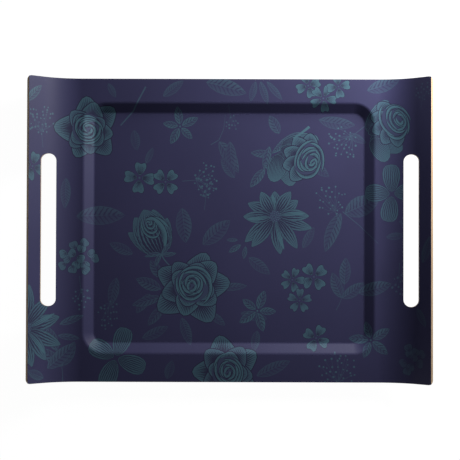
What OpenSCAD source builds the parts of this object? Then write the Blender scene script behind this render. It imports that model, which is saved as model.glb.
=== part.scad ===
// Handled serving tray, form-pressed from a stack of sheets bonded together under heat:
// a clear wear overlay, a printed decor sheet, crossed birch veneers and a plain backing sheet.
// Millimetres. +X runs to the right-hand handle, +Y to the back edge, +Z up.
// The origin is on the surface that the tray stands on, below the middle of its outline.

/* [Outline] */
// Overall length, between the outer edges of the two handles
tray_w = 500; // [490:1:530]
// Overall depth, front edge to back edge
tray_d = 380; // [360:1:400]
// Radius of the four outer corners, seen from above
corner_r = 6; // [2:0.5:10]

/* [Raised ends] */
// Distance from the tray's middle to where each end starts to rise
bend_x = 186; // [186:0.5:188]
// Radius of the rise, on the printed face
bend_r = 64; // [50:1:68]
// Slope of the handle at its outer edge, in degrees
end_angle = 45; // [35:1:46]

/* [Handle slots] */
// Distance from the tray's middle to the middle of each slot
slot_x = 225.5; // [222:0.5:228]
// Width of a slot, seen from above
slot_w = 17.5; // [16:0.5:20]
// Length of a slot, end to end
slot_l = 190; // [120:1:220]

/* [Well] */
// Length of the well, at the top of its wall
well_w = 369; // [340:1:369]
// Depth of the well from front to back, at the top of its wall
well_d = 318; // [290:1:325]
// How far the well's floor lies below the border
well_depth = 8; // [5:0.5:9]
// Radius of the well's corners, at the top of the wall
well_corner_r = 28; // [24:1:36]
// Steepest slope of the well's wall, in degrees
wall_angle = 33; // [28:1:40]
// Radius where the border turns down into the wall, on the printed face
lip_r = 7; // [6:0.5:9]
// Radius where the wall meets the floor, on the printed face
foot_r = 5; // [3:0.5:7]
// How far the press mould sat off the middle of the trimmed outline, left to right
well_shift_x = -1; // [-1.5:0.5:1.5]
// How far the press mould sat off the middle of the trimmed outline, front to back
well_shift_y = 3; // [-5:0.5:5]

/* [Lay-up] */
// Thickness of the clear melamine overlay
overlay_t = 0.2; // [0.1:0.05:0.3]
// Thickness of the printed decor sheet
decor_t = 0.2; // [0.15:0.05:0.3]
// Thickness of one pressed birch veneer
veneer_t = 0.66; // [0.5:0.01:0.75]
// Thickness of the backing sheet
backing_t = 0.3; // [0.2:0.05:0.4]

/* [Hidden] */

VENEERS = 5;        // an odd number, so that the grain balances
ARC_STEP = 5;       // degrees of bend in one flat of a rounded profile
WELL_FN = 96;       // segments in a full turn of a well corner
SLOT_FN = 64;       // segments in a full turn of a slot's round end
CUT_MARGIN = 10;    // how far a cutter runs past what it cuts

// Depth of each sheet's upper face below the printed side, measured square to the sheet.
decor_top = overlay_t;
veneer_top = overlay_t + decor_t;
backing_top = veneer_top + VENEERS * veneer_t;
sheet_t = backing_top + backing_t;

// Heights of the printed face: over the well's floor and over the border.
floor_z = sheet_t;
border_z = sheet_t + well_depth;

// The wall's plan width: two arcs with a straight slope between them.
slope_l = (well_depth - (lip_r + foot_r) * (1 - cos(wall_angle))) / sin(wall_angle);
wall_run = (lip_r + foot_r) * sin(wall_angle) + slope_l * cos(wall_angle);

// Straight part of each end, beyond its bend.
end_l = (tray_w / 2 - bend_x - (bend_r + sheet_t) * sin(end_angle)) / cos(end_angle);

// Centres of the well's corner arcs.
arc_x = well_w / 2 - well_corner_r;
arc_y = well_d / 2 - well_corner_r;

function backwards(points) = [for (i = [len(points) - 1 : -1 : 0]) points[i]];

function arc_angles(end) = [for (i = [0 : ceil(end / ARC_STEP)]) end * i / ceil(end / ARC_STEP)];

// One face of a sheet in the well's section, as [distance out from the corner centre, height].
// It starts reach away on the border and ends over the corner centre; depth is below the printed side.
function wall_line(depth, reach) = concat(
    [[reach, border_z - depth]],
    [for (a = arc_angles(wall_angle)) [
        well_corner_r - (lip_r - depth) * sin(a),
        border_z - lip_r + (lip_r - depth) * cos(a)]],
    [for (a = backwards(arc_angles(wall_angle))) [
        well_corner_r - wall_run + (foot_r + depth) * sin(a),
        floor_z + foot_r - (foot_r + depth) * cos(a)]],
    [[0, floor_z - depth]]
);

// One face of a sheet in an end's section, as [distance from the tray's middle, height].
function end_line(depth) = concat(
    [for (a = arc_angles(end_angle)) [
        bend_x + (bend_r + depth) * sin(a),
        border_z + bend_r - (bend_r + depth) * cos(a)]],
    [[
        bend_x + (bend_r + depth) * sin(end_angle) + end_l * cos(end_angle),
        border_z + bend_r - (bend_r + depth) * cos(end_angle) + end_l * sin(end_angle)]]
);

// The well's section of a sheet between two depths.
module wall_section(top, bottom, reach) {
    polygon(concat(wall_line(top, reach), backwards(wall_line(bottom, reach))));
}

// An end's section of a sheet between two depths.
module end_section(top, bottom) {
    polygon(concat(end_line(top), backwards(end_line(bottom))));
}

// The flat floor between the four corner centres.
module floor_panel(top, bottom) {
    translate([-arc_x + well_shift_x, -arc_y + well_shift_y, floor_z - bottom])
        cube([2 * arc_x, 2 * arc_y, bottom - top]);
}

// Wall and border along the back edge (side 1) or the front edge (side -1).
module long_side(top, bottom, side) {
    reach = tray_d / 2 - arc_y - side * well_shift_y;
    translate([-arc_x + well_shift_x, side * arc_y + well_shift_y, 0])
        mirror([0, side < 0 ? 1 : 0, 0])
            rotate([90, 0, 90])
                linear_extrude(2 * arc_x) wall_section(top, bottom, reach);
}

// Wall and border next to the right end (side 1) or the left end (side -1).
module short_side(top, bottom, side) {
    reach = bend_x - arc_x - side * well_shift_x;
    translate([side * arc_x + well_shift_x, arc_y + well_shift_y, 0])
        mirror([side < 0 ? 1 : 0, 0, 0])
            rotate([90, 0, 0])
                linear_extrude(2 * arc_y) wall_section(top, bottom, reach);
}

// A rounded corner of the well, with the border out to the outline.
module well_corner(top, bottom, side_x, side_y) {
    size_x = bend_x - arc_x - side_x * well_shift_x;
    size_y = tray_d / 2 - arc_y - side_y * well_shift_y;
    reach = norm([size_x, size_y]) + CUT_MARGIN;
    translate([side_x * arc_x + well_shift_x, side_y * arc_y + well_shift_y, 0])
        mirror([side_x < 0 ? 1 : 0, 0, 0])
            mirror([0, side_y < 0 ? 1 : 0, 0])
                intersection() {
                    rotate_extrude(angle = 90, $fn = WELL_FN) wall_section(top, bottom, reach);
                    cube([size_x, size_y, border_z + CUT_MARGIN]);
                }
}

// A raised end: a bend and a straight slope up to the handle's edge.
module raised_end(top, bottom, side) {
    translate([0, tray_d / 2, 0])
        mirror([side < 0 ? 1 : 0, 0, 0])
            rotate([90, 0, 0])
                linear_extrude(tray_d) end_section(top, bottom);
}

// A handle slot, milled straight down through the slope.
module slot_cutter(side) {
    half_straight = slot_l / 2 - slot_w / 2;
    cut_z = border_z - CUT_MARGIN;
    cut_h = bend_r + 2 * CUT_MARGIN;
    translate([side * slot_x - slot_w / 2, -half_straight, cut_z])
        cube([slot_w, 2 * half_straight, cut_h]);
    for (end = [-1, 1])
        translate([side * slot_x, end * half_straight, cut_z])
            cylinder(d = slot_w, h = cut_h, $fn = SLOT_FN);
}

// What is trimmed off one corner of the outline to leave it round.
module corner_cutter(side_x, side_y) {
    beyond = corner_r + CUT_MARGIN;
    mirror([side_x < 0 ? 1 : 0, 0, 0])
        mirror([0, side_y < 0 ? 1 : 0, 0])
            translate([tray_w / 2 - corner_r, tray_d / 2 - corner_r, 0])
                linear_extrude(border_z + bend_r)
                    polygon(concat(
                        [for (a = arc_angles(90)) corner_r * [cos(a), sin(a)]],
                        [[0, beyond], [beyond, beyond], [beyond, 0]]));
}

// One whole sheet of the stack, between two depths below the printed side.
module sheet(top, bottom) {
    difference() {
        union() {
            floor_panel(top, bottom);
            for (side = [-1, 1]) {
                long_side(top, bottom, side);
                short_side(top, bottom, side);
                raised_end(top, bottom, side);
                for (side_y = [-1, 1])
                    well_corner(top, bottom, side, side_y);
            }
        }
        for (side = [-1, 1]) {
            slot_cutter(side);
            for (side_y = [-1, 1])
                corner_cutter(side, side_y);
        }
    }
}

module clear_overlay() {
    color([0.85, 0.88, 0.92, 0.3]) sheet(0, decor_top);
}

module printed_decor_sheet() {
    color([0.10, 0.10, 0.20]) sheet(decor_top, veneer_top);
}

// Veneer number 1 is under the decor; the grain turns a quarter from each to the next.
module veneer(number) {
    tone = number % 2 == 1 ? [0.80, 0.66, 0.47] : [0.70, 0.55, 0.38];
    color(tone)
        sheet(veneer_top + (number - 1) * veneer_t, veneer_top + number * veneer_t);
}

module backing_sheet() {
    color([0.06, 0.06, 0.10]) sheet(backing_top, sheet_t);
}

clear_overlay();
printed_decor_sheet();
veneer(1);  // veneer_1_top
veneer(2);  // veneer_2_cross
veneer(3);  // veneer_3_core
veneer(4);  // veneer_4_cross
veneer(5);  // veneer_5_bottom
backing_sheet();
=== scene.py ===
"""A form-pressed laminate serving tray: printed face, birch veneer edges, plain back.

The printed face and the backing are meshed here, smooth, round the CAD frame. The five veneers
stay as CAD nodes and get birch materials. The floral print is drawn by the functions below, as
patches of ink in painter's order, and becomes part of the printed face's own mesh: each patch
keeps its true outline, and its engraved lines come from three numbers that its corners carry.
"""
import math
import random

import bpy
import numpy as np
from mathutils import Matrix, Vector
from mathutils.geometry import delaunay_2d_cdt


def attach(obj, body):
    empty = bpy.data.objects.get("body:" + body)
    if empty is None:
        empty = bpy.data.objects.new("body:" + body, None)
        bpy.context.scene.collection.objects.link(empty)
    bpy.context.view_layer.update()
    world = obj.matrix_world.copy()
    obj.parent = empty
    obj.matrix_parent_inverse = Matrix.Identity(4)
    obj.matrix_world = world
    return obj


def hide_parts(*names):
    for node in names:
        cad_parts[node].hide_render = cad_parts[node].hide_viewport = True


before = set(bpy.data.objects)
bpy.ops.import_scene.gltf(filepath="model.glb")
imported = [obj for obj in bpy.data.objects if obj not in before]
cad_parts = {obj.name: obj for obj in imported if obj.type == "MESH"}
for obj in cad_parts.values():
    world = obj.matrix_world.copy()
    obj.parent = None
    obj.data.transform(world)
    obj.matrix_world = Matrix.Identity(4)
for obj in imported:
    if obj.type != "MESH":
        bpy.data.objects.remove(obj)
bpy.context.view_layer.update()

MM = 0.001
TURN = 2 * math.pi      # a full turn

# ---------------------------------------------------------------- the tray's sizes, in millimetres

TRAY_W = 500.0
TRAY_D = 380.0
CORNER_R = 6.0

BEND_X = 186.0
BEND_R = 64.0
END_ANGLE = math.radians(45)

SLOT_X = 225.5
SLOT_W = 17.5
SLOT_L = 190.0

WELL_W = 369.0
WELL_D = 318.0
WELL_DEPTH = 8.0
WELL_CORNER_R = 28.0
WALL_ANGLE = math.radians(33)
LIP_R = 7.0
FOOT_R = 5.0
WELL_X = -1.0
WELL_Y = 3.0

FACE_T = 0.4            # clear overlay and printed decor sheet together
SHEET_T = 4.0           # the whole stack
BACKING_TOP = 3.7       # depth of the backing sheet's upper face

EDGE_POINTS = 120       # points along each straight edge of the outline
CORNER_POINTS = 9       # points round each outer corner
SLOT_POINTS = 17        # points round each end of a slot
TINY = 1e-6             # keeps a division by a distance safe

BORDER_Z = SHEET_T + WELL_DEPTH
ARC_X = WELL_W / 2 - WELL_CORNER_R
ARC_Y = WELL_D / 2 - WELL_CORNER_R

# The well's wall in plan, from its outer edge inwards: lip, straight slope, foot.
LIP_RUN = LIP_R * math.sin(WALL_ANGLE)
FOOT_RUN = FOOT_R * math.sin(WALL_ANGLE)
LIP_DROP = LIP_R * (1 - math.cos(WALL_ANGLE))
FOOT_DROP = FOOT_R * (1 - math.cos(WALL_ANGLE))
WALL_RUN = LIP_RUN + FOOT_RUN + (WELL_DEPTH - LIP_DROP - FOOT_DROP) / math.tan(WALL_ANGLE)

# The sheet's length, measured along the printed face from the middle of the tray.
BEND_END_S = BEND_X + BEND_R * END_ANGLE
END_X = TRAY_W / 2 - SHEET_T * math.sin(END_ANGLE)
END_S = BEND_END_S + (END_X - BEND_X - BEND_R * math.sin(END_ANGLE)) / math.cos(END_ANGLE)


# ---------------------------------------------------------------- the formed surface

def well_section(t):
    """How far the face has dropped, and its slope, at t millimetres inside the well's outer edge."""
    lip = np.clip(t, 0, LIP_RUN)
    foot = np.clip(WALL_RUN - t, 0, FOOT_RUN)
    slope_run = np.clip(t - LIP_RUN, 0, WALL_RUN - LIP_RUN - FOOT_RUN)
    drop = LIP_R - np.sqrt(LIP_R ** 2 - lip ** 2)
    drop += slope_run * math.tan(WALL_ANGLE)
    drop += np.where(t > WALL_RUN - FOOT_RUN, FOOT_DROP - FOOT_R + np.sqrt(FOOT_R ** 2 - foot ** 2), 0)
    slope = np.where(t < WALL_RUN / 2, np.arcsin(lip / LIP_R), np.arcsin(foot / FOOT_R))
    return drop, slope


def lay(sheet, depth=0.0):
    """Puts points of the flat sheet (length, across) on the formed tray, depth below the print.

    Returns their places and the face's normals there, both as arrays with three columns.
    """
    s, y = sheet[:, 0], sheet[:, 1]
    side = np.sign(s)
    run = np.abs(s) - BEND_X
    angle = np.clip(run / BEND_R, 0, END_ANGLE)
    past = np.maximum(run - BEND_R * END_ANGLE, 0)
    x = np.minimum(np.abs(s), BEND_X) + BEND_R * np.sin(angle) + past * math.cos(END_ANGLE)
    x = x * side
    z = BORDER_Z + BEND_R * (1 - np.cos(angle)) + past * math.sin(END_ANGLE)
    normal = np.column_stack((-side * np.sin(angle), np.zeros_like(s), np.cos(angle)))

    out_x = np.maximum(np.abs(x - WELL_X) - ARC_X, 0) * np.sign(x - WELL_X)
    out_y = np.maximum(np.abs(y - WELL_Y) - ARC_Y, 0) * np.sign(y - WELL_Y)
    reach = np.hypot(out_x, out_y)
    drop, slope = well_section(WELL_CORNER_R - reach)
    in_well = (reach < WELL_CORNER_R) & (run < 0)
    z = z - np.where(in_well, drop, 0)
    away = np.maximum(reach, TINY)
    wall = np.column_stack(
        (-np.sin(slope) * out_x / away, -np.sin(slope) * out_y / away, np.cos(slope)))
    normal[in_well] = wall[in_well]
    return np.column_stack((x, y, z)) - depth * normal, normal


def sheet_length(x, depth=0.0):
    """The place along the flat sheet that lies at distance x from the tray's middle.

    The distance is seen from above, and is that of a face depth below the print.
    """
    side = np.sign(x)
    run = np.abs(x) - BEND_X
    radius = BEND_R + depth
    angle = np.arcsin(np.clip(run / radius, 0, math.sin(END_ANGLE)))
    past = np.maximum(run - radius * math.sin(END_ANGLE), 0) / math.cos(END_ANGLE)
    return side * (np.minimum(np.abs(x), BEND_X) + BEND_R * angle + past)


def outline_plan(depth):
    """The tray's outline seen from above, counter-clockwise, on a face depth below the print."""
    end_x = END_X + depth * math.sin(END_ANGLE)
    start = math.acos(min((end_x - TRAY_W / 2 + CORNER_R) / CORNER_R, 1.0))
    corner = [(TRAY_W / 2 - CORNER_R * (1 - math.cos(a)), TRAY_D / 2 - CORNER_R * (1 - math.sin(a)))
              for a in np.linspace(start, math.pi / 2, CORNER_POINTS)]
    reach = TRAY_W / 2 - CORNER_R
    back = corner + [(x, TRAY_D / 2) for x in np.linspace(reach, -reach, EDGE_POINTS)[1:-1]]
    back += [(-x, y) for x, y in corner[::-1]]
    left = [(-end_x, y) for y in np.linspace(back[-1][1], -back[-1][1], EDGE_POINTS)[1:-1]]
    half = back + left
    return half + [(-x, -y) for x, y in half]


def slot_plan(side):
    """A hand slot's outline seen from above, counter-clockwise."""
    radius = SLOT_W / 2
    middle = SLOT_L / 2 - radius
    turn = np.linspace(0, math.pi, SLOT_POINTS)
    top = [(side * SLOT_X + radius * math.cos(a), middle + radius * math.sin(a)) for a in turn]
    return top + [(side * SLOT_X - radius * math.cos(a), -middle - radius * math.sin(a)) for a in turn]


def to_sheet(plan, depth=0.0):
    """An outline seen from above, put on the flat sheet."""
    plan = np.array(plan)
    return np.column_stack((sheet_length(plan[:, 0], depth), plan[:, 1]))


# ---------------------------------------------------------------- the print: how a patch is inked

# What the print consists of, in painter's order: (outline, ink). The outline is in millimetres of
# the flat sheet. The ink is a function that gives each of some points three numbers: the phase of
# the engraved lines, the share of the pitch that a dark line takes, and the strength of the ink.
# A strength below zero is no ink but an outline, darker than the ground by that much.
PRINT = []

HALO = 0.55             # width of the dark outline round a petal
EDGE = 0.5              # width of the bright line along a petal's edge
BLADE_STATIONS = 9      # places along a blade where its width is taken
CRESCENT_STATIONS = 13  # the same along a crescent
GOLDEN_TURN = 2.4       # from one seed or floret to the next in a spiral head
ANY_TURN = 6.28         # the range of a random direction

# How strongly an outline darkens the ground, as a share of its motif's ink.
PETAL_OUTLINE = -0.6
LEAF_OUTLINE = -0.4
FAN_OUTLINE = -0.7
CRESCENT_OUTLINE = -0.8


def add_patch(outline, ink):
    """Adds an inked outline on top of the print, turned counter-clockwise."""
    outline = np.array(outline)
    x, y = outline[:, 0], outline[:, 1]
    if np.sum(x * np.roll(y, -1) - y * np.roll(x, -1)) < 0:
        outline = outline[::-1]
    PRINT.append((outline, ink))


def plain(strength):
    """Ink of one strength, with no engraved lines."""
    return lambda points: np.tile((0.0, 0.0, strength), (len(points), 1))


def unit(angle):
    return np.array((math.cos(angle), math.sin(angle)))


def disc(centre, radius, count):
    return [centre + radius * unit(a) for a in np.linspace(0, TURN, count + 1)[:-1]]


class Blade:
    """A long petal or a leaf: its place, and how its width and middle line run along its length."""

    def __init__(self, base, angle, length, width, low, high, bend=0.0):
        self.base = np.array(base, float)
        self.axis = unit(angle)
        self.normal = unit(angle + math.pi / 2)
        self.length = length
        self.low, self.high = low, high
        self.bend = bend * length
        widest = low / (low + high)
        self.half = width / 2 / (widest ** low * (1 - widest) ** high)

    def half_width(self, u):
        u = np.clip(u, 0, 1)
        return self.half * u ** self.low * (1 - u) ** self.high

    def point(self, u, off):
        return self.base + self.axis * u * self.length + self.normal * (off + self.bend * u * u)

    def local(self, points):
        place = points - self.base
        u = np.clip(place @ self.axis / self.length, 0, 1)
        off = place @ self.normal - self.bend * u * u
        return u, np.clip(off / np.maximum(self.half_width(u), 0.4), -1, 1)

    def stations(self, inset, count):
        trim = inset / self.length
        return trim + (1 - 2 * trim) * (0.5 - 0.5 * np.cos(np.linspace(0, math.pi, count)))

    def side(self, sign, inset):
        stations = self.stations(inset, BLADE_STATIONS)[1:-1]
        wide = [max(self.half_width(u) - inset, 0.02) for u in stations]
        return [self.point(u, sign * w) for u, w in zip(stations, wide)]

    def outline(self, inset=0.0):
        ends = self.stations(inset, BLADE_STATIONS)
        start, tip = self.point(ends[0], 0), self.point(ends[-1], 0)
        return [start] + self.side(-1, inset) + [tip] + self.side(1, inset)[::-1]

    def half_outline(self, sign, inset, rib):
        """One side of a leaf, up to a rib that narrows towards the tip."""
        ends = self.stations(inset, BLADE_STATIONS)
        middle = [self.point(u, sign * rib * (1 - u)) for u in ends[1:-1]]
        start, tip = self.point(ends[0], 0), self.point(ends[-1], 0)
        return [start] + self.side(sign, inset) + [tip] + middle[::-1]

    def hatched(self, lines, dark_base, dark_tip, strength):
        def ink(points):
            u, v = self.local(points)
            dark = dark_base + (dark_tip - dark_base) * u
            return np.column_stack((v * lines / 2, dark, strength + 0 * u))
        return ink

    def veined(self, veins, strength):
        def ink(points):
            u, v = self.local(points)
            edge = np.abs(v)
            phase = veins * u - 1.3 * edge
            return np.column_stack((phase, 0.42 - 0.3 * edge, strength * (0.6 + 0.4 * edge)))
        return ink


class Fan:
    """A broad petal that spreads from a centre, with its outer edge notched or drawn to a point."""

    def __init__(self, centre, angle, radius, span, notch, inner, blunt):
        self.centre = np.array(centre, float)
        self.angle, self.radius, self.span = angle, radius, span
        self.notch, self.inner, self.blunt = notch, inner, blunt

    def edge(self, t):
        notch = self.notch * np.exp(-(t / 0.3) ** 2)
        return self.radius * (1 - notch) * np.maximum(1 - np.abs(t) ** self.blunt * 0.5, 0.05)

    def outline(self, inset=0.0, count=15):
        span = self.span - inset / self.radius * 1.2
        turn = np.linspace(-1, 1, count)
        near = self.inner * self.radius + inset
        arc = [self.centre + (self.edge(t) - inset) * unit(self.angle + t * span) for t in turn]
        back = [self.centre + near * unit(self.angle + t * span) for t in (1, 0.5, 0, -0.5, -1)]
        return arc + back

    def hatched(self, lines, dark_from, dark_to, strength):
        """Dark lines that spread from the centre.

        They are widest at share dark_from of the radius, and gone at share dark_to.
        """
        def ink(points):
            place = points - self.centre
            reach = np.hypot(place[:, 0], place[:, 1])
            turn = np.arctan2(place[:, 1], place[:, 0]) - self.angle
            t = np.clip(((turn + math.pi) % TURN - math.pi) / self.span, -1, 1)
            share = (reach / self.edge(t) - dark_from) / (dark_to - dark_from)
            return np.column_stack((t * lines / 2, 1.05 * (1 - np.clip(share, 0, 1)), strength + 0 * t))
        return ink


def stroke(points, width, strength, taper=0.3):
    """An inked line through some points, narrower at its far end."""
    points = np.array(points, float)
    along = np.gradient(points, axis=0)
    along /= np.maximum(np.hypot(along[:, 0], along[:, 1]), 1e-9)[:, None]
    normal = np.column_stack((-along[:, 1], along[:, 0]))
    half = width / 2 * np.linspace(1, taper, len(points))[:, None]
    add_patch(np.concatenate((points - normal * half, (points + normal * half)[::-1])), plain(strength))


def curve(start, angle, length, bend, count=7):
    """Points of a curved line that turns by bend radians over its length."""
    points = [np.array(start, float)]
    for i in range(count - 1):
        heading = angle + bend * (i + 0.5) / (count - 1)
        points.append(points[-1] + unit(heading) * length / (count - 1))
    return points


def dot(centre, radius, strength):
    add_patch(disc(np.array(centre), radius, 7), plain(strength))


# ---------------------------------------------------------------- the print: flowers and leaves

# A shape is how fast a blade widens from its base and narrows to its tip. A dark pair is the share
# of the pitch that the dark lines take at a petal's base and at its tip, or, for a broad petal,
# the shares of its radius where they are widest and where they end.

def petal(base, angle, length, width, strength=1.0, lines=5,
          dark=(0.95, -0.1), shape=(0.8, 0.45), bend=0.0):
    blade = Blade(base, angle, length, width, *shape, bend)
    add_patch(blade.outline(-HALO), plain(PETAL_OUTLINE * strength))
    add_patch(blade.outline(), plain(strength))
    add_patch(blade.outline(EDGE), blade.hatched(lines, *dark, strength * 0.82))


def leaf(base, angle, length, width, strength=0.55, veins=11, bend=0.0, shape=(0.75, 0.85)):
    blade = Blade(base, angle, length, width, *shape, bend)
    add_patch(blade.outline(-HALO / 2), plain(LEAF_OUTLINE * strength))
    add_patch(blade.outline(), plain(strength))
    for sign, share in ((1, 0.95), (-1, 0.5)):
        add_patch(blade.half_outline(sign, EDGE, 0.5), blade.veined(veins, strength * share))


def broad_petal(centre, angle, radius, span, strength, notch, inner, blunt, lines, dark, gap=HALO):
    fan = Fan(centre, angle, radius, span, notch, inner, blunt)
    add_patch(fan.outline(-gap), plain(FAN_OUTLINE * strength))
    add_patch(fan.outline(), plain(strength))
    add_patch(fan.outline(EDGE), fan.hatched(lines, *dark, strength * 0.85))


def crescent(centre, radius, start, span, thick, strength,
             squash=1.0, turn=0.0, gap=0.8, drift=0.0):
    """A petal's curled rim seen end on: an arc, bright outside and engraved dark towards the inside."""
    centre = np.array(centre, float)
    along, across = unit(turn), unit(turn + math.pi / 2) * squash

    def place(reach, angle):
        return centre + reach * (math.cos(angle) * along + math.sin(angle) * across)

    def band(out, back):
        shares = np.linspace(0, 1, CRESCENT_STATIONS)
        rim = [radius * (1 - drift * u) for u in shares]
        outer = [place(r + out, start + u * span) for r, u in zip(rim, shares)]
        inner = [place(r - (thick + back) * math.sin(math.pi * u) ** 0.7, start + u * span)
                 for r, u in zip(rim, shares)]
        return outer + inner[::-1][1:-1]

    def ink(points):
        off = points - centre
        x, y = off @ along, off @ across / squash ** 2
        angle = np.arctan2(y, x)
        share = np.clip(((angle - start) % TURN) / span, 0, 1)
        inward = np.clip((radius * (1 - drift * share) - np.hypot(x, y)) / thick, 0, 1)
        return np.column_stack((angle * radius, 1.2 * inward ** 2 - 0.2, strength + 0 * x))

    add_patch(band(gap, gap), plain(CRESCENT_OUTLINE * strength))
    add_patch(band(0.0, 0.0), ink)


def blossom(centre, radius, turn, petals=4, strength=1.0):
    """A small flower of heart-shaped petals."""
    for i in range(petals):
        angle = turn + TURN * i / petals
        broad_petal(np.array(centre) + 0.1 * radius * unit(angle), angle, radius, 0.82 * math.pi / petals,
                    strength, 0.16, 0.12, 4, 9, (0.2, 0.85))
    dot(centre, 0.07 * radius, 0.5 * strength)


def posy(centre, radius, petals, size, strength, seed):
    """A head of round petals that lie over each other, such as a hydrangea's."""
    rnd = random.Random(seed)
    for i in range(petals):
        turn = GOLDEN_TURN * i
        place = np.array(centre) + radius * math.sqrt((i + 0.5) / petals) * unit(turn)
        base = place - 0.45 * size * unit(turn)
        angle = turn + rnd.uniform(-0.6, 0.6)
        tone = strength * rnd.uniform(0.7, 1)
        broad_petal(base, angle, size, 0.95, tone, 0.1, 0.1, 3, 5, (0.12, 0.6))


def star(centre, radius, turn, petals=5, width=0.42, strength=0.8):
    """A flower of pointed, leaf-like petals, each with a middle rib."""
    for i in range(petals):
        angle = turn + TURN * i / petals
        size = radius * (1.0 if i % 2 == 0 else 0.86)
        leaf(np.array(centre) + 0.1 * radius * unit(angle), angle, size * 0.9, width * size, strength, 5)
    dot(centre, 0.05 * radius, strength)


def daisy(centre, radius, turn, petals, width=0.32, strength=1.0, lean=0.0, lean_angle=0.0, seed=1):
    """A large flower of long pointed petals round a seed head; lean lengthens the petals on one side."""
    rnd = random.Random(seed)
    centre = np.array(centre, float)
    for i in sorted(range(petals), key=lambda i: (i % 2, i)):
        angle = turn + TURN * i / petals + rnd.uniform(-0.12, 0.12)
        reach = radius * (1 + lean * math.cos(angle - lean_angle)) * rnd.uniform(0.88, 1.06)
        root = centre + 0.12 * radius * unit(angle)
        curl = rnd.uniform(0.06, 0.14) * (-1) ** i
        tone = strength * rnd.uniform(0.85, 1.0)
        petal(root, angle, reach * 0.9, width * radius, tone, 5, (1.0, 0.0), (0.75, 0.8), curl)
        if i % 3 == 0:
            fold = Blade(root, angle + 0.12, reach * 0.8, 0.36 * width * radius, 0.8, 0.8, 1.3 * curl)
            add_patch(fold.outline(-0.3), plain(0.1 * strength))
            add_patch(fold.outline(), fold.hatched(3, 0.6, -0.2, strength))
    head = 0.17 * radius
    add_patch(disc(centre, head, 14), plain(0.1 * strength))
    seeds = 30
    for i in range(seeds):
        place = centre + head * math.sqrt((i + 0.5) / seeds) * unit(GOLDEN_TURN * i)
        dot(place, 0.018 * radius, 0.8 * strength)


def rose(centre, radius, turn, strength=1.0, lean=(0.0, 0.0), seed=1):
    """A full rose seen from above: pointed outer petals round a spiral heart."""
    rnd = random.Random(seed)
    centre, lean = np.array(centre, float), np.array(lean)
    # Each whorl: share of the radius, petals, how far they are drawn out, where their lines start.
    whorls = ((1.0, 5, 0.26, 0.55), (0.82, 5, 0.22, 0.60), (0.64, 4, 0.16, 0.62))
    for ring, (share, count, point, shade) in enumerate(whorls):
        size = radius * share
        middle = centre + lean * (radius - size)
        for i in range(count):
            angle = turn + 0.65 * ring + TURN * i / count + rnd.uniform(-0.2, 0.2)
            reach = size * rnd.uniform(0.8, 0.94)
            tone = strength * rnd.uniform(0.8, 1.0)
            span = 1.45 * math.pi / count
            broad_petal(middle, angle, reach, span, tone, -point, 0.05, 2.4, 27, (shade, 0.98), 1.1)
    heart = centre + lean * 0.5 * radius
    add_patch(disc(heart, 0.5 * radius, 24), plain(0.2 * strength))
    share = 0.56
    for ring in range(5):
        for i in range(3):
            start = turn + 0.9 * ring + 2.1 * i + rnd.uniform(-0.25, 0.25)
            place = heart + 0.035 * radius * unit(rnd.uniform(0, ANY_TURN))
            reach = radius * share * rnd.uniform(0.94, 1.06)
            span = rnd.uniform(2.0, 2.7)
            squash = rnd.uniform(0.82, 1.0)
            tilt = turn + rnd.uniform(-0.6, 0.6)
            crescent(place, reach, start, span, 0.1 * radius, strength, squash, tilt, 0.9, 0.16)
        share -= 0.1


def rosebud(base, angle, length, strength=1.0):
    """A half-open rose seen from the side, on its calyx."""
    base = np.array(base, float)
    axis, across = unit(angle), unit(angle + math.pi / 2)

    def spot(up, side):
        return base + (up * axis + side * across) * length

    def outer(turn, reach, width, bend, tone):
        petal(base, angle + turn, reach * length, width * length, tone * strength,
              9, (0.95, 0.1), (0.55, 0.75), bend)

    outer(0.66, 0.86, 0.34, -0.04, 0.85)
    outer(-0.6, 0.8, 0.32, 0.06, 0.85)
    outer(-0.34, 0.98, 0.54, 0.14, 0.9)
    outer(0.36, 0.98, 0.56, -0.1, 0.9)
    outer(0.0, 1.04, 0.70, 0.0, 0.85)
    for i, reach in enumerate((0.27, 0.2, 0.13, 0.07)):
        rim = reach * length
        crescent(spot(0.64 + 0.03 * i, -0.02), rim, angle - 1.3 + 0.5 * i, 3.0,
                 0.065 * length, strength, 0.8, angle)
        crescent(spot(0.62 + 0.03 * i, 0.02), rim, angle + 1.6 + 0.4 * i, 2.3,
                 0.05 * length, strength, 0.8, angle)
    crescent(spot(0.42, -0.04), 0.42 * length, angle - 3.4, 1.7,
             0.12 * length, 0.95 * strength, 0.8, angle)
    crescent(spot(0.46, 0.08), 0.43 * length, angle + 1.75, 2.1,
             0.15 * length, strength, 0.85, angle)
    for turn, reach in ((2.1, 0.3), (-2.1, 0.32), (1.15, 0.36), (-1.2, 0.3)):
        leaf(base, angle + turn, reach * length, 0.1 * length, strength * 0.75, 3, 0.2)
    stroke(curve(base, angle + math.pi, 0.3 * length, 0.5), 1.7, strength * 0.7, 0.7)


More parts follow.
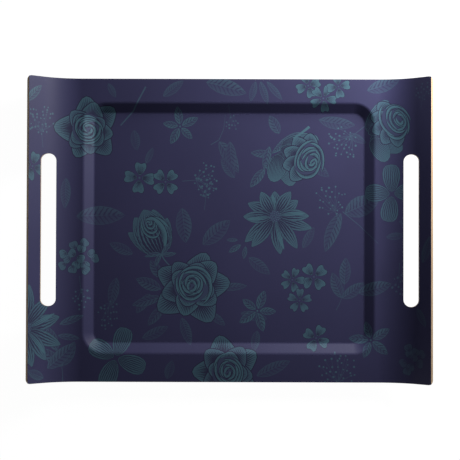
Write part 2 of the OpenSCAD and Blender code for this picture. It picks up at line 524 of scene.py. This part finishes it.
def cup_rose(centre, size, angle, strength=1.0, seed=1):
    """A rose seen from the side and nodding: hanging outer petals round an oval mouth of curled rims."""
    rnd = random.Random(seed)
    centre = np.array(centre, float)
    axis, across = unit(angle), unit(angle + math.pi / 2)
    for side, turn, reach in ((0.2, 0.5, 0.95), (-0.3, -0.7, 0.9), (0.0, 0.1, 1.0), (-0.4, -1.2, 0.7)):
        base = centre - 0.62 * size * axis + side * 0.4 * size * across
        petal(base, angle + turn, reach * size, 0.46 * size, strength,
              13, (0.9, 0.0), (0.55, 0.5), 0.1 * turn)
    mouth = centre + 0.16 * size * axis
    for i in range(5):
        turn = angle + math.pi + 0.62 * (i - 2)
        broad_petal(mouth, turn, 0.6 * size, 0.6, strength * 0.95, -0.12, 0.1, 2.6, 19, (0.6, 0.98), 1.0)
    outline = [mouth + 0.47 * size * (0.72 * math.cos(a) * axis + math.sin(a) * across)
               for a in np.linspace(0, TURN, 29)[:-1]]
    add_patch(outline, plain(0.15 * strength))
    share = 0.52
    for ring in range(5):
        for i in range(3):
            start = 1.1 * ring + 2.1 * i + rnd.uniform(-0.25, 0.25)
            spot = mouth + 0.03 * ring * size * axis + 0.03 * size * unit(rnd.uniform(0, ANY_TURN))
            reach = share * size * rnd.uniform(0.94, 1.06)
            span = rnd.uniform(2.0, 2.6)
            tilt = angle + math.pi / 2 + rnd.uniform(-0.3, 0.3)
            crescent(spot, reach, start, span, 0.09 * size, strength, 0.72, tilt, 0.9, 0.16)
        share -= 0.095


def umbel(root, angle, length, wide, dots, strength, seed):
    """A spray of small round buds on fine stems that fork from one stalk."""
    rnd = random.Random(seed)
    root = np.array(root, float)
    axis, across = unit(angle), unit(angle + math.pi / 2)
    fork = root + 0.4 * length * axis
    stroke([root, fork], 0.7, strength * 0.55, 0.8)
    for i in range(dots):
        reach = math.sqrt((i + 0.5) / dots)
        turn = GOLDEN_TURN * i + rnd.uniform(-0.3, 0.3)
        head = root + 0.68 * length * axis + 0.36 * length * reach * math.cos(turn) * axis
        head = head + wide / 2 * reach * math.sin(turn) * across
        if i % 2 == 0:
            middle = (fork + head) / 2 + rnd.uniform(-0.05, 0.05) * length * across
            stroke([fork, middle, head], 0.45, strength * 0.4, 0.7)
        dot(head, rnd.uniform(0.9, 1.5), strength * rnd.uniform(0.75, 1))


def spray(root, angle, length, pairs, leaf_length, strength, bend=0.4, veins=5):
    """A curved stem with a leaf at its tip and pairs of leaves along it."""
    stem = curve(root, angle, length, bend, 2 * pairs + 3)
    stroke(stem, 0.7, strength, 0.5)
    for i in range(pairs):
        node = stem[2 * i + 2]
        heading = angle + bend * (2 * i + 2) / (2 * pairs + 2)
        size = leaf_length * (1 - 0.12 * i)
        for sign in (1, -1):
            leaf(node, heading + sign * 0.75, size, 0.42 * size, strength, veins, sign * -0.08)
    leaf(stem[-1], angle + bend, leaf_length, 0.42 * leaf_length, strength, veins)


# ---------------------------------------------------------------- the print: what lies where

def at(x, y):
    """A place on the flat sheet, from where it lies seen from above."""
    return np.array((float(sheet_length(np.array([x]))[0]), y))


def deg(angle):
    return math.radians(angle)


# Places are millimetres seen from above. After its place, a leaf has its direction, length, width,
# strength, number of veins and bend; each kind of flower has its own list, in its function above.

def draw_faint_leaves():
    leaf(at(-153, 184), deg(-62), 20, 8, 0.4)
    stroke([at(-138, 132), at(-122, 150), at(-106, 180)], 1.6, 0.5, 1.2)
    leaf(at(-84, 168), deg(38), 32, 12, 0.42)
    leaf(at(-121, 126), deg(-82), 26, 12, 0.3)
    leaf(at(-30, 186), deg(-12), 52, 20, 0.5, 9, -0.06)
    leaf(at(38, 187), deg(-72), 30, 9, 0.42)
    leaf(at(46, 187), deg(-50), 30, 8, 0.42)
    leaf(at(32, 187), deg(-104), 26, 9, 0.36)
    leaf(at(-205, 65), deg(-92), 38, 13, 0.42)
    leaf(at(-192, 17), deg(4), 60, 24, 0.4, 10, -0.04)
    leaf(at(-60, 28), deg(-84), 44, 20, 0.42, 9)
    leaf(at(-34, -18), deg(42), 46, 20, 0.38, 9)
    leaf(at(-14, 112), deg(-52), 46, 17, 0.45, 8, -0.1)
    stroke([at(-24, 108), at(-14, 114), at(-8, 128), at(-6, 146)], 0.9, 0.5)
    leaf(at(0, 112), deg(-86), 40, 14, 0.36, 8)
    leaf(at(-106, 84), deg(66), 22, 8, 0.35)
    leaf(at(112, 140), deg(-14), 46, 16, 0.42, 9, 0.1)
    leaf(at(150, 122), deg(-28), 24, 10, 0.35)
    leaf(at(172, 176), deg(16), 44, 17, 0.55, 8, 0.06)
    leaf(at(196, -8), deg(6), 24, 9, 0.35)
    leaf(at(-60, -110), deg(-72), 36, 13, 0.4)
    leaf(at(-110, -136), deg(20), 36, 13, 0.34, 7, 0.08)
    leaf(at(-78, -186), deg(74), 24, 12, 0.34)
    leaf(at(34, -182), deg(24), 46, 15, 0.4, 9)
    leaf(at(35, -126), deg(-100), 26, 11, 0.4)
    leaf(at(228, 30), deg(80), 30, 12, 0.5)
    leaf(at(238, -40), deg(70), 36, 12, 0.4)
    leaf(at(232, -96), deg(-60), 26, 10, 0.36)
    leaf(at(212, 12), deg(-30), 26, 10, 0.3)


def draw_filler_leaves():
    """Pale leaves in the gaps between the larger motifs."""
    leaf(at(-122, -30), deg(155), 32, 13, 0.36, 8)
    leaf(at(-142, -60), deg(-105), 36, 14, 0.34, 8, 0.06)
    leaf(at(24, -34), deg(-38), 34, 14, 0.36, 8)
    leaf(at(14, -104), deg(-12), 34, 12, 0.34, 8)
    leaf(at(6, 66), deg(125), 30, 12, 0.34, 8)
    leaf(at(100, 88), deg(-42), 32, 13, 0.36, 8, 0.05)
    leaf(at(-100, -80), deg(-125), 30, 12, 0.36, 8)
    leaf(at(92, -22), deg(62), 30, 11, 0.34, 8)


def draw_sprays():
    spray(at(134, -100), deg(58), 34, 1, 34, 0.5, 0.5, 8)
    leaf(at(162, -78), deg(16), 42, 17, 0.55, 9)
    leaf(at(145, 22), deg(24), 46, 26, 0.5, 10)
    leaf(at(140, 22), deg(-118), 52, 17, 0.5, 9, 0.1)
    stroke([at(142, 24), at(164, 6), at(186, -16)], 0.9, 0.5, 0.6)
    spray(at(-208, -190), deg(86), 40, 1, 34, 0.6, 0.5, 6)
    leaf(at(-226, -172), deg(34), 46, 18, 0.55, 9, 0.1)
    leaf(at(-230, -184), deg(158), 26, 12, 0.55)
    leaf(at(-212, -118), deg(20), 32, 9, 0.6, 5)
    leaf(at(-214, -132), deg(-8), 28, 8, 0.5, 5)


def draw_umbels():
    umbel(at(-232, 102), deg(96), 50, 46, 40, 0.85, 3)
    umbel(at(-60, 62), deg(4), 44, 44, 30, 0.9, 4)
    umbel(at(-32, 26), deg(84), 40, 18, 16, 0.7, 5)
    umbel(at(170, 132), deg(218), 52, 44, 34, 0.9, 6)
    umbel(at(140, 4), deg(110), 56, 40, 26, 0.9, 7)
    umbel(at(-188, -58), deg(-84), 42, 22, 16, 0.75, 8)
    umbel(at(-146, -70), deg(-100), 54, 26, 24, 0.6, 9)
    umbel(at(136, -214), deg(90), 60, 50, 36, 0.8, 10)
    umbel(at(212, -40), deg(-92), 40, 18, 12, 0.5, 11)
    umbel(at(-2, 158), deg(-80), 34, 16, 12, 0.6, 12)
    umbel(at(236, 150), deg(80), 34, 26, 16, 0.45, 13)


def draw_small_flowers():
    leaf(at(-250, 158), deg(42), 31, 11, 0.9, 6)
    blossom(at(-243, 78), 17, deg(72), 4, 0.95)
    blossom(at(-114, 66), 18.5, deg(84), 4)
    blossom(at(-81, 61), 16.5, deg(44), 4)
    posy(at(-191, -34), 22, 14, 11, 0.95, 21)
    star(at(-63, 131), 25, deg(98), 5)
    blossom(at(98, 182), 15, deg(20), 4)
    blossom(at(117, 166), 16, deg(64), 5)
    blossom(at(136, 181), 14, deg(10), 4)
    blossom(at(106, -58), 17, deg(38), 4)
    blossom(at(79, -62), 14.5, deg(70), 5, 0.95)
    blossom(at(88, -88), 14.5, deg(15), 5, 0.85)
    star(at(35, -101), 27, deg(-74), 5)
    blossom(at(109, -135), 16, deg(62), 4, 0.95)
    star(at(177, -137), 27, deg(32), 5, 0.42, 0.75)
    leaf(at(14, -18), deg(212), 18, 7, 0.7, 4)
    leaf(at(20, -20), deg(262), 16, 6, 0.6, 4)
    leaf(at(10, -12), deg(180), 14, 5, 0.5, 4)
    posy(at(226, -160), 17, 9, 11, 0.4, 22)


def draw_hatched_flowers():
    """Two flowers of four broad petals, engraved all over."""
    for angle, reach in ((92, 34), (176, 30), (-98, 32), (8, 30)):
        base = at(203, 46) + 3 * unit(deg(angle))
        petal(base, deg(angle), reach, 22, 0.85, 9, (0.6, 0.3), (0.6, 0.35))
    for angle, reach in ((72, 36), (152, 34), (-112, 36), (-20, 36)):
        base = at(-142, -160) + 3 * unit(deg(angle))
        petal(base, deg(angle), reach, 23, 0.9, 9, (0.6, 0.25), (0.6, 0.35))


def draw_main_flowers():
    daisy(at(-250, -121), 52, deg(12), 11, 0.34, 0.95, 0.05, 0.0, 41)
    daisy(at(57, 18), 43, deg(-88), 12, 0.35, 1.0, 0.26, deg(-88), 42)
    leaf(at(-86, -74), deg(158), 34, 15, 0.5, 7)
    leaf(at(-86, -84), deg(196), 38, 12, 0.5, 7)
    leaf(at(-84, -96), deg(232), 30, 12, 0.4, 6)
    leaf(at(-86, -60), deg(122), 26, 13, 0.5, 6)
    leaf(at(-12, -72), deg(4), 34, 10, 0.45, 7)
    leaf(at(-24, -104), deg(-40), 24, 10, 0.4, 6)
    rosebud(at(-86, -30), deg(112), 58)
    rose(at(-48, -71), 45, deg(78), 1.0, (0.02, 0.1), 31)
    rose(at(-177, 126), 38, deg(-40), 1.0, (-0.1, 0.04), 32)
    leaf(at(62, 122), deg(118), 26, 13, 0.55, 6)
    leaf(at(44, 78), deg(232), 30, 11, 0.7, 6)
    leaf(at(52, 96), deg(176), 26, 10, 0.6, 6)
    leaf(at(88, 124), deg(214), 44, 11, 0.9, 14, 0.06)
    leaf(at(50, 106), deg(256), 30, 10, 0.7, 6)
    leaf(at(60, 74), deg(150), 20, 9, 0.8, 5)
    cup_rose(at(92, 92), 50, deg(-22), 1.0, 33)
    stroke([at(80, 116), at(90, 123), at(100, 131)], 2.4, 0.95, 1.4)
    cup_rose(at(201, 134), 48, deg(24), 0.95, 34)
    rose(at(-4, -177), 40, deg(100), 0.95, (0.1, -0.04), 35)


draw_faint_leaves()
draw_filler_leaves()
draw_sprays()
draw_umbels()
draw_small_flowers()
draw_hatched_flowers()
draw_main_flowers()


# ---------------------------------------------------------------- meshing a face of the sheet

GRID = 5.0              # spacing of the plain grid, millimetres
BACK_GRID = GRID * 1.6  # the same on the plain back
RING_STEP = 5.0         # spacing of points along a ring of the well's wall
RING_CORNER = 13        # points of a ring round one corner of the well
WALL_ARC_RINGS = 6      # rings over the lip, and over the foot
ARC_COLUMNS = 13        # columns of points over a bend
CLEAR = 1.0             # how far grid points keep from the ends and from the rings
MERGE = 1e-4            # points nearer than this become one
SLIVER = 1e-5           # a triangle with less than half this area is dropped
AT_END = 0.01           # how near the end of the sheet a point counts as on it


def grid_points(step):
    """A grid over the sheet, closer over the bends and left out where the well's wall has rings."""
    flat = np.arange(-math.floor(BEND_X / step) * step, BEND_X, step)
    bend = np.linspace(BEND_X, BEND_END_S, ARC_COLUMNS)
    slope = np.arange(BEND_END_S + step, END_S - CLEAR, step)
    ends = np.concatenate((bend, slope))
    columns = np.concatenate((-ends[::-1], flat, ends))
    rows = np.linspace(-TRAY_D / 2 + step / 2, TRAY_D / 2 - step / 2, int(TRAY_D / step))
    s, y = (a.ravel() for a in np.meshgrid(columns, rows))
    out_x = np.maximum(np.abs(s - WELL_X) - ARC_X, 0)
    out_y = np.maximum(np.abs(y - WELL_Y) - ARC_Y, 0)
    t = WELL_CORNER_R - np.hypot(out_x, out_y)
    return np.column_stack((s, y))[(t < -CLEAR) | (t > WALL_RUN + CLEAR)]


def wall_ring(t):
    """A closed ring round the well, t millimetres inside its outer edge."""
    radius = WELL_CORNER_R - t
    ring = []
    for quarter, (sx, sy) in enumerate(((1, 1), (-1, 1), (-1, -1), (1, -1))):
        centre = np.array((WELL_X + sx * ARC_X, WELL_Y + sy * ARC_Y))
        shares = np.linspace(0, 1, RING_CORNER)
        ring += [centre + radius * unit(math.pi / 2 * (quarter + share)) for share in shares]
        straight = 2 * (ARC_X if quarter % 2 == 0 else ARC_Y)
        start, heading = ring[-1], unit(math.pi / 2 * (quarter + 2))
        ring += [start + heading * d for d in np.arange(RING_STEP, straight - RING_STEP / 2, RING_STEP)]
    return ring


def wall_rings():
    """Rings over the lip, one half-way down the slope, and rings over the foot."""
    lip = [LIP_R * math.sin(a) for a in np.linspace(0, WALL_ANGLE, WALL_ARC_RINGS)]
    foot = [WALL_RUN - FOOT_R * math.sin(a) for a in np.linspace(WALL_ANGLE, 0, WALL_ARC_RINGS)]
    return [wall_ring(t) for t in lip + [WALL_RUN / 2] + foot]


def inside(outline, points):
    """Which points lie inside a closed outline, also where the outline crosses itself."""
    turns = np.zeros(len(points), int)
    x, y = points[:, 0], points[:, 1]
    for (ax, ay), (bx, by) in zip(outline, np.roll(outline, -1, axis=0)):
        left = (bx - ax) * (y - ay) - (by - ay) * (x - ax)
        turns += (ay <= y) & (by > y) & (left > 0)
        turns -= (ay > y) & (by <= y) & (left < 0)
    return turns != 0


def topmost(patches, points):
    """The number of the last patch that covers each point, or -1 where the ground is bare."""
    top = np.full(len(points), -1)
    for number, (outline, _) in enumerate(patches):
        low, high = outline.min(axis=0), outline.max(axis=0)
        near = np.nonzero(np.all((points >= low) & (points <= high), axis=1))[0]
        top[near[inside(outline, points[near])]] = number
    return top


def triangulate(depth, patches, step):
    """Triangles of one face of the flat sheet: points, corners, and the patch on top of each."""
    border = to_sheet(outline_plan(depth), depth)
    slots = [to_sheet(slot_plan(side), depth) for side in (-1, 1)]
    points, edges = [], []
    for loop in [border] + slots + wall_rings() + [outline for outline, _ in patches]:
        first = len(points)
        points.extend(Vector(p) for p in loop)
        edges += [(first + i, first + (i + 1) % len(loop)) for i in range(len(loop))]
    points.extend(Vector(p) for p in grid_points(step))
    made = delaunay_2d_cdt(points, edges, [], 0, MERGE, True)
    out = np.array([tuple(p) for p in made[0]])
    corners = np.array(made[2])
    a, b, c = out[corners[:, 0]], out[corners[:, 1]], out[corners[:, 2]]
    area = (b[:, 0] - a[:, 0]) * (c[:, 1] - a[:, 1]) - (b[:, 1] - a[:, 1]) * (c[:, 0] - a[:, 0])
    middle = (a + b + c) / 3
    kept = inside(border, middle) & ~inside(slots[0], middle) & ~inside(slots[1], middle)
    kept &= np.abs(area) > SLIVER
    corners = np.where((area < 0)[:, None], corners[:, ::-1], corners)
    return out, corners[kept], topmost(patches, middle[kept])


def rim_edges(corners):
    """The edges that only one triangle has, in that triangle's own direction."""
    pairs = np.concatenate((corners[:, (0, 1)], corners[:, (1, 2)], corners[:, (2, 0)]))
    low, high = pairs.min(axis=1), pairs.max(axis=1)
    _, index, count = np.unique(low * (pairs.max() + 1) + high, return_index=True, return_counts=True)
    return pairs[index[count == 1]]


def sheet_piece(name, depth, rim_depth, patches, step, material):
    """A face of the sheet with a narrow rim that runs from it to another depth."""
    flat, corners, top = triangulate(depth, patches, step)
    used, corners = np.unique(corners, return_inverse=True)
    corners = corners.reshape(-1, 3)
    flat = flat[used]
    place, normal = lay(flat, depth)
    facing = 1 if rim_depth > depth else -1

    edges = rim_edges(corners)
    rim, edge_index = np.unique(edges, return_inverse=True)
    edge_index = edge_index.reshape(-1, 2)
    on_end = np.abs(flat[rim, 0]) > END_S - AT_END
    under = flat[rim].copy()
    under[:, 0] = np.where(on_end, under[:, 0], sheet_length(place[rim, 0], rim_depth))
    rim_place, _ = lay(under, rim_depth)

    count = len(flat)
    quads = np.column_stack(
        (edges[:, 1], edges[:, 0], count + edge_index[:, 0], count + edge_index[:, 1]))
    if facing < 0:
        corners = corners[:, ::-1]
        quads = quads[:, ::-1]
    mesh = bpy.data.meshes.new(name)
    mesh.from_pydata(np.concatenate((place, rim_place)) * MM, [], corners.tolist() + quads.tolist())
    mesh.update()

    # The face is shaded by the true surface, the rim by its own flat quads.
    loops = np.zeros((len(mesh.loops), 3))
    loops[:corners.size] = (facing * normal)[corners.ravel()]
    quad_normals = np.array([p.normal for p in mesh.polygons[len(corners):]])
    loops[corners.size:] = np.repeat(quad_normals, 4, axis=0)
    mesh.shade_smooth()
    mesh.normals_split_custom_set(loops.tolist())

    # Each corner of an inked triangle carries what its patch's ink gives there.
    ink = np.zeros((len(mesh.loops), 3))
    order = np.argsort(top, kind="stable")
    starts = np.searchsorted(top[order], np.arange(len(patches) + 1))
    for number, (_, fill) in enumerate(patches):
        chosen = order[starts[number]:starts[number + 1]]
        if len(chosen):
            values = fill(flat[corners[chosen].ravel()])
            ink[(chosen[:, None] * 3 + np.arange(3)).ravel()] = values
    if patches:
        engraving = mesh.attributes.new("engraving", "FLOAT_VECTOR", "CORNER")
        engraving.data.foreach_set("vector", ink.ravel())

    piece = bpy.data.objects.new(name, mesh)
    bpy.context.collection.objects.link(piece)
    mesh.materials.append(material)
    return piece


# ---------------------------------------------------------------- materials

NOISE_RANGE = (0.3, 0.7)    # where most of a noise texture's values lie
MELAMINE_IOR = 1.48

# The Mix node's colour sockets, which share their names with its other ones.
COLOUR_A, COLOUR_B, COLOUR_RESULT = 6, 7, 2


def toned(colour, factor):
    """A colour made lighter or darker."""
    return tuple(c * factor for c in colour[:3]) + (1,)


class Nodes:
    """A material's nodes, with short calls for the ones used here."""

    def __init__(self, name):
        self.material = bpy.data.materials.new(name)
        self.material.use_nodes = True
        self.tree = self.material.node_tree
        self.shader = self.tree.nodes["Principled BSDF"]

    def add(self, kind, inputs=(), **settings):
        node = self.tree.nodes.new(kind)
        for key, value in settings.items():
            setattr(node, key, value)
        for key, value in dict(inputs).items():
            self.put(value, node.inputs[key])
        return node

    def put(self, value, socket):
        if isinstance(value, bpy.types.NodeSocket):
            self.tree.links.new(value, socket)
        else:
            socket.default_value = value

    def math(self, operation, *values, clamp=False):
        node = self.add("ShaderNodeMath", operation=operation, use_clamp=clamp)
        for socket, value in zip(node.inputs, values):
            self.put(value, socket)
        return node.outputs[0]

    def spread(self, value, low, high, to_low=0.0, to_high=1.0, smooth=False):
        node = self.add("ShaderNodeMapRange", {"Value": value, "From Min": low, "From Max": high,
                                               "To Min": to_low, "To Max": to_high},
                        interpolation_type="SMOOTHSTEP" if smooth else "LINEAR")
        return node.outputs[0]

    def vary(self, noise, least, most):
        """A noise's usual range, turned into a range from least to most."""
        return self.spread(noise, *NOISE_RANGE, least, most)

    def place(self, scale=(1, 1, 1)):
        coordinates = self.add("ShaderNodeTexCoord").outputs["Object"]
        return self.add("ShaderNodeMapping", {"Vector": coordinates, "Scale": scale}).outputs[0]

    def noise(self, vector, scale, detail=4.0, roughness=0.5):
        return self.add("ShaderNodeTexNoise", {"Vector": vector, "Scale": scale, "Detail": detail,
                                               "Roughness": roughness}).outputs[0]

    def mix(self, factor, first, second):
        node = self.add("ShaderNodeMix", data_type="RGBA")
        self.put(factor, node.inputs["Factor"])
        self.put(first, node.inputs[COLOUR_A])
        self.put(second, node.inputs[COLOUR_B])
        return node.outputs[COLOUR_RESULT]

    def bump(self, height, strength, distance):
        node = self.add("ShaderNodeBump",
                        {"Height": height, "Strength": strength, "Distance": distance})
        self.tree.links.new(node.outputs[0], self.shader.inputs["Normal"])


NAVY = (0.0385, 0.0380, 0.0945, 1)          # the ground
DEEP_NAVY = (0.0165, 0.0155, 0.0400, 1)     # engraved lines and outlines
TEAL = (0.0600, 0.1330, 0.1740, 1)          # the ink
BACKING_DARK = (0.0085, 0.0085, 0.0175, 1)
BACKING_LIGHT = (0.0125, 0.0125, 0.0240, 1)

BIRCH_LONG = ((0.62, 0.45, 0.27, 1), (0.40, 0.26, 0.14, 1))     # light and dark, along the grain
BIRCH_CROSS = ((0.46, 0.31, 0.18, 1), (0.27, 0.16, 0.08, 1))    # the same on end grain


def printed_melamine():
    """Navy melamine with teal engraving, under a satin overlay."""
    n = Nodes("printed_melamine")
    where = n.place()
    engraving = n.add("ShaderNodeAttribute", attribute_name="engraving", attribute_type="GEOMETRY")
    parts = n.add("ShaderNodeSeparateXYZ", {"Vector": engraving.outputs["Vector"]})
    phase, dark, strength = parts.outputs

    # Engraved lines, a little unsteady and soft at their edges.
    wobble = n.vary(n.noise(where, scale=260, detail=2), -0.12, 0.12)
    line = n.math("FRACT", n.math("ADD", phase, wobble))
    ridge = n.math("MULTIPLY", n.math("ABSOLUTE", n.math("SUBTRACT", line, 0.5)), 2.0)
    inked = n.math("SUBTRACT", ridge, dark)
    inked = n.spread(inked, -0.14, 0.14, 0.04, 1.0, smooth=True)
    # The ink lies unevenly, and through a fine printer's screen.
    patchy = n.spread(n.noise(where, scale=90, detail=5), 0.25, 0.75, 0.86, 1.08)
    screen = n.vary(n.noise(where, scale=2400, detail=1), 0.9, 1.06)
    ink = n.math("MULTIPLY", inked, strength)
    coverage = n.math("MULTIPLY", ink, n.math("MULTIPLY", patchy, screen), clamp=True)

    # The ground is faintly cloudy, and darker in the engraved lines and the outlines.
    cloud = n.vary(n.noise(where, scale=9, detail=4), 0.0, 1.0)
    ground = n.mix(cloud, toned(NAVY, 0.94), toned(NAVY, 1.07))
    bare = n.math("SUBTRACT", 1.0, inked)
    cut_lines = n.math("MULTIPLY", bare, n.math("MULTIPLY", strength, 1.2, clamp=True))
    outline = n.math("MULTIPLY", strength, -1.0, clamp=True)
    darkened = n.math("ADD", n.math("MULTIPLY", cut_lines, 0.7), outline, clamp=True)
    ground = n.mix(darkened, ground, DEEP_NAVY)
    n.put(n.mix(coverage, ground, TEAL), n.shader.inputs["Base Color"])

    # A satin face with long scuffs and a fine pressed grain.
    scuffs = n.spread(n.noise(n.place((1, 6, 1)), 40, 6, 0.65), 0.55, 0.8, 0.0, 0.05)
    satin = n.math("ADD", n.vary(n.noise(where, scale=14, detail=4), 0.50, 0.54), scuffs)
    n.put(satin, n.shader.inputs["Roughness"])
    n.shader.inputs["IOR"].default_value = MELAMINE_IOR
    n.shader.inputs["Specular IOR Level"].default_value = 0.2
    fine = n.noise(where, scale=1400, detail=3)
    broad = n.math("MULTIPLY", n.noise(where, scale=220, detail=2), 0.6)
    n.bump(n.math("ADD", fine, broad), strength=0.25, distance=0.00006)
    return n.material


def backing_melamine():
    """Plain dark melamine with a fine pressed grain."""
    n = Nodes("backing_melamine")
    where = n.place()
    cloud = n.vary(n.noise(where, scale=26, detail=5), 0.0, 1.0)
    n.put(n.mix(cloud, BACKING_DARK, BACKING_LIGHT), n.shader.inputs["Base Color"])
    scuffs = n.spread(n.noise(n.place((5, 1, 1)), 30, 6, 0.7), 0.58, 0.8, 0.0, 0.12)
    matt = n.vary(n.noise(where, scale=60, detail=4), 0.5, 0.58)
    n.put(n.math("ADD", matt, scuffs), n.shader.inputs["Roughness"])
    n.shader.inputs["IOR"].default_value = MELAMINE_IOR
    n.bump(n.noise(where, scale=900, detail=3), strength=0.4, distance=0.0001)
    return n.material


def birch(name, along, light, dark):
    """Cut birch whose grain runs along X or along Y."""
    n = Nodes(name)
    stretch = (1, 14, 14) if along == "X" else (14, 1, 14)
    fibre = n.noise(n.place(stretch), scale=60, detail=6, roughness=0.6)
    finer = n.place(tuple(2 * c for c in stretch))
    pores = n.spread(n.noise(finer, scale=130, detail=3), 0.58, 0.72, 0.0, 0.55)
    tone = n.math("ADD", n.vary(fibre, 0.0, 0.7), pores, clamp=True)
    blush = n.vary(n.noise(n.place(), scale=12, detail=3), 0.0, 1.0)
    handled = n.math("MULTIPLY", blush, 0.3)
    n.put(n.mix(handled, n.mix(tone, light, dark), toned(dark, 0.7)), n.shader.inputs["Base Color"])
    n.put(n.vary(fibre, 0.5, 0.68), n.shader.inputs["Roughness"])
    n.bump(fibre, strength=0.5, distance=0.00012)
    return n.material


# ---------------------------------------------------------------- the tray

face = sheet_piece("printed_face", 0.0, FACE_T, PRINT, GRID, printed_melamine())
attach(face, "root")
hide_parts("clear_overlay", "printed_decor_sheet")

back = sheet_piece("backing_face", SHEET_T, BACKING_TOP, [], BACK_GRID, backing_melamine())
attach(back, "root")
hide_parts("backing_sheet")

long_grain = birch("birch_long_grain", "X", *BIRCH_LONG)
cross_grain = birch("birch_cross_grain", "Y", *BIRCH_CROSS)
VENEERS = {
    "veneer_1_top": long_grain,
    "veneer_2_cross": cross_grain,
    "veneer_3_core": long_grain,
    "veneer_4_cross": cross_grain,
    "veneer_5_bottom": long_grain,
}
for node, material in VENEERS.items():
    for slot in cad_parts[node].material_slots:
        slot.material = material


# ---------------------------------------------------------------- floor, light and camera
# Metres from here on.

FLOOR_SIZE = 12
FLOOR_DROP = 0.0005         # below the tray, so that the two never share a plane
FLOOR_GREY = (0.10, 0.10, 0.10, 1)
FLOOR_GLOW = 0.98
WHITE = (1, 1, 1, 1)

KEY_PLACE = (0.44, 0.46, 0.25)
KEY_AIM = (0, 0, 0.01)
KEY_SIZE = 0.3
KEY_POWER = 8.6

WORLD_LIGHT = 0.03          # what the tray gets from all round
WORLD_SEEN = 0.9            # what the camera sees past the floor


def stage_floor():
    """A pale floor that glows a little, so that what shows through the slots stays pale."""
    bpy.ops.mesh.primitive_plane_add(size=FLOOR_SIZE, location=(0, 0, -FLOOR_DROP))
    floor = bpy.context.object
    floor.name = "floor"
    n = Nodes("pale_floor")
    n.shader.inputs["Base Color"].default_value = FLOOR_GREY
    n.shader.inputs["Roughness"].default_value = 0.9
    n.shader.inputs["Specular IOR Level"].default_value = 0.0
    n.shader.inputs["Emission Color"].default_value = WHITE
    n.shader.inputs["Emission Strength"].default_value = FLOOR_GLOW
    floor.data.materials.append(n.material)


def softbox(name, place, aim, width, height, power):
    """A rectangular lamp at a place, turned to face what it is aimed at."""
    data = bpy.data.lights.new(name, "AREA")
    data.shape = "RECTANGLE"
    data.size, data.size_y = width, height
    data.energy = power
    lamp = bpy.data.objects.new(name, data)
    lamp.location = place
    lamp.rotation_euler = (Vector(aim) - Vector(place)).to_track_quat("-Z", "Y").to_euler()
    bpy.context.collection.objects.link(lamp)


def pale_world():
    """Dim all round, so that the tray's far slopes go dark, and pale where it is only looked at."""
    world = bpy.data.worlds.new("studio")
    world.use_nodes = True
    nodes, links = world.node_tree.nodes, world.node_tree.links
    background = nodes["Background"]
    seen = nodes.new("ShaderNodeLightPath")
    level = nodes.new("ShaderNodeMapRange")
    level.inputs["To Min"].default_value = WORLD_LIGHT
    level.inputs["To Max"].default_value = WORLD_SEEN
    links.new(seen.outputs["Is Camera Ray"], level.inputs["Value"])
    links.new(level.outputs[0], background.inputs["Strength"])
    background.inputs["Color"].default_value = WHITE
    bpy.context.scene.world = world


CAMERA_HEIGHT = 1.700       # above the border
CAMERA_TILT = 0.018         # radians off the vertical
CAMERA_TURN = 0.003         # radians about the vertical
SENSOR_WIDTH = 36           # millimetres
VIEW_WIDTH = 0.5764         # what the picture's width spans at the border
AIM = (0.0004, 0.0004, BORDER_Z * MM)

stage_floor()
softbox("key", KEY_PLACE, KEY_AIM, KEY_SIZE, KEY_SIZE, KEY_POWER)
pale_world()

camera = bpy.data.objects.new("camera", bpy.data.cameras.new("camera"))
camera.data.sensor_width = SENSOR_WIDTH
camera.data.lens = SENSOR_WIDTH * CAMERA_HEIGHT / VIEW_WIDTH
camera.location = (
    AIM[0],
    AIM[1] - CAMERA_HEIGHT * math.sin(CAMERA_TILT),
    AIM[2] + CAMERA_HEIGHT * math.cos(CAMERA_TILT),
)
camera.rotation_euler = (CAMERA_TILT, 0, CAMERA_TURN)
bpy.context.collection.objects.link(camera)
bpy.context.scene.camera = camera
bpy.context.scene.view_settings.view_transform = "Standard"
